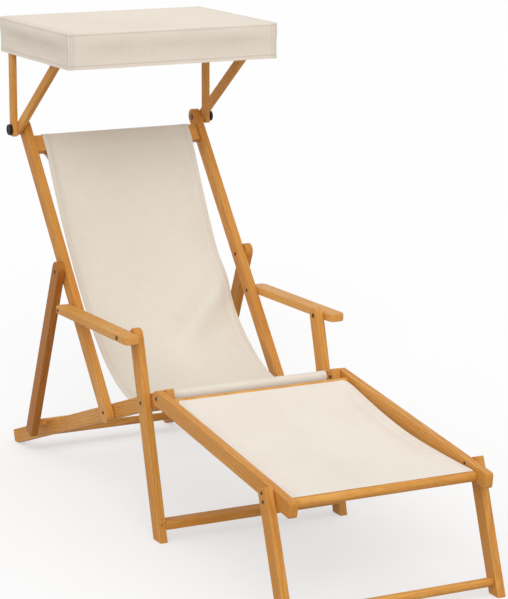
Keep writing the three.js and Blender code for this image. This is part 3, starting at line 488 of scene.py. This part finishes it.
# Seat sling
# One length of cream cotton canvas, sleeved over the head slat and round the front bar and
# hanging free between them, with narrow sewn hems down both sides.
def canvas_cloth(name, warp="#f1ebdf", weft="#eae2d4", sewn=()):
    """Plain-woven canvas that follows a piece's own UV map, which is in metres. Each row of
    sewn is an axis of that map, the places on it where a seam runs, and how deep its furrow
    is, as a bump and as painted shade."""
    faded, gap_shade, painted_furrow_shade, stitch_thread = "#e6dacb", "#c6b8a4", "#a99a86", "#e2d6c4"
    finish, tree, surface = new_finish(name)
    cloth = add_node(tree, "ShaderNodeTexCoord").outputs["UV"]

    # Threads about 0.6 mm apart are drawn 1.2 mm apart, so that the weave shows. A wave
    # texture of scale 1 repeats every 0.31416 m.
    thread, repeat_at_scale_one = 0.0012, 0.31416
    ends = add_node(tree, "ShaderNodeTexWave", {
        "Vector": cloth, "Scale": repeat_at_scale_one / thread}, bands_direction="X")
    picks = add_node(tree, "ShaderNodeTexWave", {
        "Vector": cloth, "Scale": repeat_at_scale_one / thread}, bands_direction="Y")
    over = add_node(tree, "ShaderNodeTexChecker", {"Vector": cloth, "Scale": 1 / thread})
    weave = add_node(tree, "ShaderNodeMix", {
        0: over.outputs["Fac"], 2: ends.outputs["Fac"], 3: picks.outputs["Fac"]},
        data_type="FLOAT")

    # Thicker yarns run 30 to 80 mm before they thin out again, both ways of the cloth
    slub_end = add_node(tree, "ShaderNodeMapping", {"Vector": cloth, "Scale": (520, 16, 1)})
    slub_end = add_node(tree, "ShaderNodeTexNoise", {
        "Vector": slub_end.outputs[0], "Scale": 1.0, "Detail": 2.0}, noise_dimensions="2D")
    slub_pick = add_node(tree, "ShaderNodeMapping", {"Vector": cloth, "Scale": (16, 520, 1)})
    slub_pick = add_node(tree, "ShaderNodeTexNoise", {
        "Vector": slub_pick.outputs[0], "Scale": 1.0, "Detail": 2.0}, noise_dimensions="2D")
    slub = add_node(tree, "ShaderNodeMath", {
        0: slub_end.outputs["Fac"], 1: slub_pick.outputs["Fac"]}, operation="ADD")
    slub = add_node(tree, "ShaderNodeMapRange", {
        "Value": slub.outputs[0], "From Min": 0.6, "From Max": 1.4})
    fade = add_node(tree, "ShaderNodeTexNoise", {
        "Vector": cloth, "Scale": 5.0, "Detail": 3.0}, noise_dimensions="2D")
    fade = add_node(tree, "ShaderNodeMapRange", {
        "Value": fade.outputs["Fac"], "From Min": 0.3, "From Max": 0.7, "To Max": 0.25})

    yarn = add_node(tree, "ShaderNodeMix", {
        "Factor": slub.outputs[0], 6: colour(weft), 7: colour(warp)}, data_type="RGBA")
    yarn = add_node(tree, "ShaderNodeMix", {
        "Factor": fade.outputs[0], 6: yarn.outputs[2], 7: colour(faded)}, data_type="RGBA")
    gaps = add_node(tree, "ShaderNodeMapRange", {
        "Value": weave.outputs[0], "From Min": 0.0, "From Max": 0.5, "To Min": 0.16,
        "To Max": 0.0})
    yarn = add_node(tree, "ShaderNodeMix", {
        "Factor": gaps.outputs[0], 6: yarn.outputs[2], 7: colour(gap_shade)},
        data_type="RGBA")

    # Stitches 3 mm long in every 4 mm, drawn 0.9 mm thick, in a furrow that they pull in; the
    # furrow is a bump and a painted shade
    stitch_pitch, stitch_share, stitch_half_width = 0.004, 0.75, 0.00045
    furrow_floor, furrow_half_width = 0.0004, 0.0024
    split = add_node(tree, "ShaderNodeSeparateXYZ", {0: cloth})
    height = add_node(tree, "ShaderNodeMath", {
        0: slub.outputs[0], 1: 0.5, 2: weave.outputs[0]}, operation="MULTIPLY_ADD")
    for axis, rows, depth in sewn:
        nearest = None
        for row in rows:
            away = add_node(tree, "ShaderNodeMath", {
                0: split.outputs[axis], 1: row}, operation="SUBTRACT")
            away = add_node(tree, "ShaderNodeMath", {0: away.outputs[0]}, operation="ABSOLUTE")
            nearest = away if nearest is None else add_node(tree, "ShaderNodeMath", {
                0: nearest.outputs[0], 1: away.outputs[0]}, operation="MINIMUM")
        step = add_node(tree, "ShaderNodeMath", {
            0: split.outputs["Y" if axis == "X" else "X"], 1: 1 / stitch_pitch},
            operation="MULTIPLY")
        step = add_node(tree, "ShaderNodeMath", {0: step.outputs[0]}, operation="FRACT")
        shown = add_node(tree, "ShaderNodeMath", {
            0: step.outputs[0], 1: stitch_share}, operation="LESS_THAN")
        covered = add_node(tree, "ShaderNodeMath", {
            0: nearest.outputs[0], 1: stitch_half_width}, operation="LESS_THAN")
        covered = add_node(tree, "ShaderNodeMath", {
            0: covered.outputs[0], 1: shown.outputs[0]}, operation="MULTIPLY")
        furrow = add_node(tree, "ShaderNodeMapRange", {
            "Value": nearest.outputs[0], "From Min": furrow_floor,
            "From Max": furrow_half_width, "To Min": depth, "To Max": 0.0})
        # Painted shade along the furrow, as deep as the row asks
        yarn = add_node(tree, "ShaderNodeMix", {
            "Factor": furrow.outputs[0], 6: yarn.outputs[2], 7: colour(painted_furrow_shade)},
            data_type="RGBA")
        yarn = add_node(tree, "ShaderNodeMix", {
            "Factor": covered.outputs[0], 6: yarn.outputs[2], 7: colour(stitch_thread)},
            data_type="RGBA")
        height = add_node(tree, "ShaderNodeMath", {
            0: furrow.outputs[0], 1: -3.0, 2: height.outputs[0]}, operation="MULTIPLY_ADD")
        height = add_node(tree, "ShaderNodeMath", {
            0: covered.outputs[0], 1: 1.2, 2: height.outputs[0]}, operation="MULTIPLY_ADD")
    tree.links.new(yarn.outputs[2], surface.inputs["Base Color"])
    bump = add_node(tree, "ShaderNodeBump", {
        "Height": height.outputs[0], "Strength": 0.3, "Distance": 0.0005})
    tree.links.new(bump.outputs[0], surface.inputs["Normal"])
    surface.inputs["Roughness"].default_value = 0.92
    surface.inputs["Specular IOR Level"].default_value = 0.25
    surface.inputs["Sheen Weight"].default_value = 0.1
    return finish


def arc(centre, radius, start, stop, steps):
    """Points of a round in the side view, from one angle in degrees to another."""
    turns = [math.radians(start + (stop - start) * i / steps) for i in range(steps + 1)]
    return [centre + radius * Vector((math.cos(a), math.sin(a))) for a in turns]


def hanging_curve(start, pull_start, pull_end, end, steps):
    """A Bezier curve in the side view, without its two ends."""
    points = []
    for i in range(1, steps):
        t = i / steps
        points.append(start * (1 - t) ** 3 + pull_start * (3 * t * (1 - t) ** 2)
                      + pull_end * (3 * t * t * (1 - t)) + end * t ** 3)
    return points


def running_lengths(points):
    """How far along the points each of them lies."""
    lengths = [0.0]
    for before, after in zip(points, points[1:]):
        lengths.append(lengths[-1] + (after - before).length)
    return lengths


def lay_cloth(name, points, half_width, columns, lift, draw, thickness, hem, finish):
    """A sheet along a side-view path. lift(across, distance) stands it off the path and
    draw(distance) takes it in at its edges; hem is the width of the doubled side edges."""
    hem_step_share, hem_thickness_share = 0.004, 1.9
    lengths, rows = running_lengths(points), len(points) - 1
    bpy.ops.object.select_all(action="DESELECT")
    bpy.ops.mesh.primitive_grid_add(x_subdivisions=columns, y_subdivisions=rows, size=1)
    piece = bpy.context.object
    piece.name = name
    hem_share = hem / half_width
    inner_edge = 1 - hem_share - hem_step_share
    inner = [inner_edge * (2 * i / (columns - 4) - 1) for i in range(columns - 3)]
    spread = [-1, -1 + hem_share, *inner, 1 - hem_share, 1]
    doubled = piece.vertex_groups.new(name="doubled")
    flat_places = []
    for vertex in piece.data.vertices:
        column = round((vertex.co.x + 0.5) * columns)
        row = round((vertex.co.y + 0.5) * rows)
        across, distance = spread[column], lengths[row]
        along = (points[min(row + 1, rows)] - points[max(row - 1, 0)]).normalized()
        off = lift(across, distance)
        spot = points[row] + Vector((-along.y, along.x)) * off
        x = across * (half_width - draw(distance))
        vertex.co = (x, spot.x, spot.y)
        flat_places.append((across * half_width, distance))
        if column <= 1 or column >= columns - 1:
            doubled.add([vertex.index], 1.0, "REPLACE")
    layer = piece.data.uv_layers.active
    for loop in piece.data.loops:
        layer.data[loop.index].uv = flat_places[loop.vertex_index]
    solid = piece.modifiers.new("cloth", "SOLIDIFY")
    solid.thickness = hem_thickness_share * thickness
    solid.offset = 0
    solid.vertex_group = "doubled"
    solid.thickness_vertex_group = 1 / hem_thickness_share
    bpy.ops.object.modifier_apply(modifier="cloth")
    bpy.ops.object.shade_smooth_by_angle(angle=math.radians(50))
    piece.data.materials.clear()
    piece.data.materials.append(finish)
    return piece, lengths[-1]


def edge_share(across, band):
    """0 as far as the outermost band of a cloth's half width, rising to 1 at its edge."""
    return max(0, 1 - (1 - across) / band)


canvas_thickness, sling_half_width, sling_hem, sling_columns = 0.0013, 0.215, 0.016, 34
slat_half_width, slat_half_thickness, sleeve_round, stand_off = 0.024, 0.0105, 0.005, 0.0015
slat_centre, bar_centre = Vector((0.67335, 0.86675)), Vector((-0.11884, 0.35949))
bar_radius = 0.012
slat_turn = math.radians(back_lean)
slat_along = Vector((math.cos(slat_turn), math.sin(slat_turn)))
slat_up = Vector((-slat_along.y, slat_along.x))


def slat_corner(side, face, start, stop):
    """A rounded corner of the sleeve over the head slat, with angles from the slat's own."""
    corner = (slat_centre + slat_along * side * (slat_half_width + stand_off - sleeve_round)
              + slat_up * face * (slat_half_thickness + stand_off - sleeve_round))
    return arc(corner, sleeve_round, back_lean + start, back_lean + stop, 5)


# The canvas leaves the slat and the bar at these angles to the floor, and the pulls draw it
# on along them; the hem of each sleeve comes back to the cloth 26 mm on, 3 mm off it
leave_slat, leave_bar, slat_tuck, bar_tuck = 63.3, 37.8, 205, 285
slat_pull, bar_pull, hem_length, hem_stand = 0.438, 0.383, 0.026, 0.003
slat_sleeve = [
    *slat_corner(-1, -1, slat_tuck, 270),
    *slat_corner(1, -1, 270, 360),
    *slat_corner(1, 1, 0, 90),
    *slat_corner(-1, 1, 90, 90 + leave_slat - back_lean),
]
bar_sleeve = arc(bar_centre, bar_radius + stand_off, 90 - leave_bar, bar_tuck, 18)
upper_end, lower_end = slat_sleeve[-1], bar_sleeve[0]
upper_way = Vector((-math.cos(math.radians(leave_slat)), -math.sin(math.radians(leave_slat))))
lower_way = Vector((math.cos(math.radians(leave_bar)), -math.sin(math.radians(leave_bar))))
upper_hem = upper_end + upper_way * hem_length + Vector((-upper_way.y, upper_way.x)) * hem_stand
lower_hem = lower_end + lower_way * hem_length + Vector((lower_way.y, -lower_way.x)) * hem_stand
span = hanging_curve(upper_end, upper_end + upper_way * slat_pull,
                     lower_end + lower_way * bar_pull, lower_end, 90)
sling_path = [upper_hem, *slat_sleeve, *span, *bar_sleeve, lower_hem]
sling_lengths = running_lengths(sling_path)
free_start = sling_lengths[len(slat_sleeve)]
free_end = sling_lengths[len(slat_sleeve) + len(span) + 1]


def free_share(distance):
    """0 where the sling is held at its slat and its bar, rising to 1 half way between."""
    share = (distance - free_start) / (free_end - free_start)
    return math.sin(math.pi * min(max(share, 0), 1)) ** 2


sling_hollow, sling_draw_in, sling_slack, sling_curl, curl_band = 0.007, 0.005, 0.0016, 0.004, 0.12
pucker_stand, slat_pucker_reach, bar_pucker_reach = 0.0011, 0.11, 0.09

# A soft fold runs down and inwards through the right half: a place near it, the direction
# across it, how far its crest lies from that place and where it starts to die away
fold_x, fold_down, fold_across = 0.107, 0.555, Vector((0.69, 0.72))
fold_off, fold_end = 0.03, 0.02
fold_stand, fold_width, fold_fade, fold_edge_band, fold_edge_loss = 0.036, 0.041, 0.1, 0.2, 0.6


def sling_lift(across, distance):
    """How far the sling hangs under its path, its edges turned back and its folds up."""
    free = free_share(distance)
    hollow = sling_hollow * free * (1 - across * across)
    slack = sling_slack * free * noise.noise(Vector((across * 1.7, distance * 4.5, 3.1)))
    from_slat = math.exp(-max(distance - free_start, 0) / slat_pucker_reach)
    from_bar = math.exp(-max(free_end - distance, 0) / bar_pucker_reach)
    held = distance <= free_start or distance >= free_end
    from_fold = Vector((across * sling_half_width - fold_x, distance - free_start - fold_down))
    off_fold = (from_fold.dot(fold_across) + fold_off) / fold_width
    past_fold = max(from_fold.y * fold_across.x - from_fold.x * fold_across.y - fold_end, 0)
    fold = fold_stand * math.exp(-off_fold ** 2 - (past_fold / fold_fade) ** 2) * (
        1 - fold_edge_loss * edge_share(across, fold_edge_band))
    curl = sling_curl * free * edge_share(abs(across), curl_band) ** 2
    puckers = 0 if held else pucker_stand * (from_slat + from_bar) * min(1, 8 * free + 0.2) * (
        noise.noise(Vector((across * 9, distance * 3, 7.7))))
    return hollow + slack + puckers + curl - fold


# The side hems are stitched 3 mm outside their inner edge
hem_row_inset = 0.003
# The hem rows carry a faint painted shade along their furrow
cream_canvas = canvas_cloth("cream_cotton_canvas", sewn=[
    ("X", [side * (sling_half_width - sling_hem + hem_row_inset) for side in (-1, 1)], 0.09)])
sling, sling_length = lay_cloth(
    "sling_cloth", sling_path, sling_half_width, sling_columns, sling_lift,
    lambda distance: sling_draw_in * free_share(distance), canvas_thickness, sling_hem,
    cream_canvas)
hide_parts("seat_sling")
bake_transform(sling)

# Footrest cloth
# A shorter piece of the same canvas, tacked along the tops of the rear and the front bar
# and pulled nearly flat. Its canvas is painted paler than the sling's, a painted light for
# the open light it lies in.
foot_half_width, foot_hem, foot_columns, foot_thickness = 0.235, 0.014, 34, 0.0011
rear_bar, rear_radius = Vector((-0.187474, 0.35626)), 0.0125
front_bar, front_radius = Vector((-0.790484, 0.27466)), 0.013
rear_round, front_round = rear_radius + canvas_thickness, front_radius + canvas_thickness

# It leaves the rear bar where it is tacked, dips a little below the line between the bars,
# and runs round the front bar to its own tacks
rear_tack, front_tack, cloth_dip = 138, 107, 6
chord = math.degrees(math.atan2(rear_bar.y - front_bar.y, rear_bar.x - front_bar.x))
landing = 90 + chord - cloth_dip
foot_start = arc(rear_bar, rear_round, rear_tack, rear_tack + 1, 1)[0]
foot_land = arc(front_bar, front_round, landing, landing + 1, 1)[0]
foot_middle = (foot_start + foot_land) / 2
foot_middle.y -= (foot_start - foot_land).length / 2 * math.tan(math.radians(cloth_dip))
pulls = [foot_start.lerp(foot_middle, 2 / 3), foot_land.lerp(foot_middle, 2 / 3)]
foot_span = hanging_curve(foot_start, pulls[0], pulls[1], foot_land, 60)
foot_wrap = arc(front_bar, front_round, landing, front_tack, 4)
foot_path = [foot_start, *foot_span, *foot_wrap]
foot_free_end = running_lengths(foot_path)[len(foot_span) + 1]


def foot_free_share(distance):
    """0 at the two bars, rising to 1 half way between."""
    return math.sin(math.pi * min(distance / foot_free_end, 1)) ** 2


foot_hollow, foot_draw_in, foot_slack = 0.004, 0.007, 0.0012
corner_take_in, corner_reach = 0.009, 0.012
dent_depth, dent_from_edge, dent_width = 0.008, 0.022, 0.015
rear_dent_share, left_dent_share = 1.25, 0.35


def foot_lift(across, distance):
    """How far the cloth hangs under its path, with a dent inside each side edge that is
    deepest near the rear bar and on the right."""
    free = foot_free_share(distance)
    slack = foot_slack * free * noise.noise(Vector((across * 1.9, distance * 5, 1.3)))
    from_edge = (1 - abs(across)) * foot_half_width
    dent = dent_depth * free ** 0.5 * (rear_dent_share - distance / foot_free_end) * (
        1 if across > 0 else left_dent_share) * math.exp(
            -((from_edge - dent_from_edge) / dent_width) ** 2)
    return foot_hollow * free * (1 - across * across) + slack + dent


def foot_taken_in(distance):
    """The side edges draw in between the bars, and are gathered at the rear tacks."""
    return foot_draw_in * foot_free_share(distance) + corner_take_in * math.exp(
        -distance / corner_reach)


# Painted light: a paler copy of the sling's canvas; its hem rows carry a faint painted shade along
# their furrow
painted_light_canvas = canvas_cloth(
    "cream_cotton_canvas_footrest_painted_light", "#f9f1e6", "#f3eadd",
    sewn=[("X", [side * (foot_half_width - foot_hem + hem_row_inset) for side in (-1, 1)], 0.08)])
foot_cloth, foot_length = lay_cloth(
    "footrest_cloth", foot_path, foot_half_width, foot_columns, foot_lift, foot_taken_in,
    foot_thickness, foot_hem, painted_light_canvas)
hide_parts("footrest_sling")
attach(foot_cloth, "footrest_frame")

# Canopy cover
# A shallow box sewn from the same canvas and slipped over the canopy's wooden rectangle:
# one cloth whose top sags between the battens and runs over felled seams into valances,
# which belly out, draw in below and end in a double-turned hem.
cover_inset, cover_cells, seam_round, seam_stand = 0.0018, 40, 0.0045, 0.0011
cover_low, cover_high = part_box("canopy_cover")
cover_low += Vector((cover_inset, cover_inset, 0))
cover_high -= Vector((cover_inset, cover_inset, 0))
cover_middle = (cover_low + cover_high) / 2
cover_size = cover_high - cover_low
bpy.ops.object.select_all(action="DESELECT")
bpy.ops.mesh.primitive_cube_add(size=1, location=cover_middle, scale=cover_size)
cover = bpy.context.object
cover.name = "cover_cloth"
bpy.ops.object.transform_apply(location=True, rotation=True, scale=True)
bpy.ops.object.mode_set(mode="EDIT")
bpy.ops.mesh.select_mode(type="FACE")
bpy.ops.mesh.select_all(action="DESELECT")
bpy.ops.object.mode_set(mode="OBJECT")
for face in cover.data.polygons:
    face.select = face.normal.z < -0.5
bpy.ops.object.mode_set(mode="EDIT")
bpy.ops.mesh.delete(type="FACE")
bpy.ops.mesh.select_all(action="SELECT")
bpy.ops.mesh.subdivide(number_cuts=cover_cells)
bpy.ops.mesh.select_all(action="DESELECT")
bpy.ops.mesh.select_mode(type="EDGE")
bpy.ops.mesh.edges_select_sharp(sharpness=math.radians(60))
bpy.ops.mesh.bevel(offset=seam_round, segments=3, affect="EDGES")
bpy.ops.object.mode_set(mode="OBJECT")

# The cloth's own measure on each panel, before it sags
layer = cover.data.uv_layers.active
for face in cover.data.polygons:
    level_part, side_part = abs(face.normal.z), abs(face.normal.x)
    for loop_index in face.loop_indices:
        spot = cover.data.vertices[cover.data.loops[loop_index].vertex_index].co
        if level_part > 0.7:
            layer.data[loop_index].uv = (spot.x, spot.y)
        elif side_part > 0.7:
            layer.data[loop_index].uv = (spot.y, spot.z)
        else:
            layer.data[loop_index].uv = (spot.x, spot.z)

top_held, top_sag, top_ripple = 0.9, 0.0075, 0.0009
wrinkle_stand, wrinkle_turns, wrinkle_narrowness = 0.0007, 26, 4.5
hem_height, belly, draw_in, side_ripple, hem_wave = 0.009, 0.0038, 0.0022, 0.0014, 0.0011
top_share, belly_turns, corner_share, touch = 0.03, 2.15, 0.35, 1e-5
strut_y = sum(corner.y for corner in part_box("canopy_rear_strut_right")) / 2
strut_reach, strut_room = 0.05, 0.0005
doubled = cover.vertex_groups.new(name="doubled")
for vertex in cover.data.vertices:
    out = vertex.co - cover_middle
    share_x, share_y = 2 * out.x / cover_size.x, 2 * out.y / cover_size.y
    hang = (cover_high.z - vertex.co.z) / cover_size.z
    side_x, side_y = math.copysign(1, out.x), math.copysign(1, out.y)
    away = [cover_size.x / 2 - abs(out.x), cover_size.y / 2 - abs(out.y),
            cover_high.z - vertex.co.z]
    rounding = [touch < gap < seam_round - touch for gap in away]
    if vertex.co.z < cover_low.z + hem_height:
        doubled.add([vertex.index], 1.0, "REPLACE")

    # The top: hollow between the battens, a faint wrinkle running to each corner
    held_x, held_y = min(abs(share_x) / top_held, 1), min(abs(share_y) / top_held, 1)
    inside = (1 - held_x ** 2) * (1 - held_y ** 2)
    to_corner = max(0, 1 - wrinkle_narrowness * abs(abs(share_x) - abs(share_y)))
    if hang < top_share:
        vertex.co.z -= top_sag * inside ** 1.1
        vertex.co.z -= top_ripple * inside ** 0.5 * (
            noise.noise(Vector((share_x * 3.1, share_y * 2.2, 5.2))))
        vertex.co.z -= wrinkle_stand * to_corner * min(1, 4 * inside) * math.sin(
            wrinkle_turns * (abs(share_x) - abs(share_y)))

    # The valances: out just under the top seam, in below it and out again at the hem
    else:
        on_x = away[0] <= away[1]
        run = share_y if on_x else share_x
        facing = Vector((side_x, 0, 0)) if on_x else Vector((0, side_y, 0))
        between_corners = 1 - abs(run) ** 6
        bow = math.sin(belly_turns * math.pi * hang) * (
            belly if hang * belly_turns < 1 else draw_in * (1.15 - 0.3 * hang))
        uneven = 0.8 + 0.9 * noise.noise(
            Vector((run * 2.3, side_x * 3 + side_y * 1.7, 9.4 + 2 * on_x)))
        move = bow * uneven * (corner_share + (1 - corner_share) * between_corners)
        move += side_ripple * hang ** 2 * between_corners * noise.noise(
            Vector((run * 4.2, 1.3, side_x + 5 * side_y)))
        if on_x and abs(vertex.co.y - strut_y) < strut_reach:
            move = max(move, -strut_room)
        vertex.co += facing * move
        vertex.co.z += hem_wave * hang * between_corners * noise.noise(
            Vector((run * 2, side_y * 4, 2.2 + on_x)))

    # The felled seams stand a millimetre proud along every joined edge
    if sum(rounding) >= 2:
        outwards = Vector((side_x * rounding[0], side_y * rounding[1], rounding[2]))
        vertex.co += outwards.normalized() * seam_stand

doubled_share = 1.9
wall = cover.modifiers.new("cloth", "SOLIDIFY")
wall.thickness = doubled_share * canvas_thickness
wall.offset = -1
wall.vertex_group = "doubled"
wall.thickness_vertex_group = 1 / doubled_share
bpy.ops.object.modifier_apply(modifier="cloth")
bpy.ops.object.shade_smooth_by_angle(angle=math.radians(60))
cover.data.materials.clear()

# Two rows of stitches beside the top's side edges and the corners of the front and rear
# valances, one beside the corners of the side ones, a row with deeper painted shade at the
# same edges, and the rows under the top seam and over the hem, both with deep painted shade;
# the one under the top seam stands for the seam's shadow. Every row carries painted shade
# along its furrow.
near_seam, far_seam, corner_shade_row, top_seam_shade_row = 0.011, 0.016, 0.0055, 0.0065
cover.data.materials.append(canvas_cloth(
    "cream_cotton_canvas_canopy", "#f5ebde", "#eee2d3",
    sewn=[
        ("X", [edge + inward * gap for edge, inward in (
            (cover_low.x, 1), (cover_high.x, -1)) for gap in (near_seam, far_seam)], 0.16),
        ("X", [cover_low.y + near_seam, cover_high.y - near_seam], 0.1),
        ("X", [cover_low.y + corner_shade_row, cover_high.y - corner_shade_row, cover_low.x + corner_shade_row,
               cover_high.x - corner_shade_row], 0.3),
        ("Y", [cover_low.z + hem_height, cover_high.z - top_seam_shade_row], 0.32),
    ]))
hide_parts("canopy_cover")
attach(cover, "canopy")
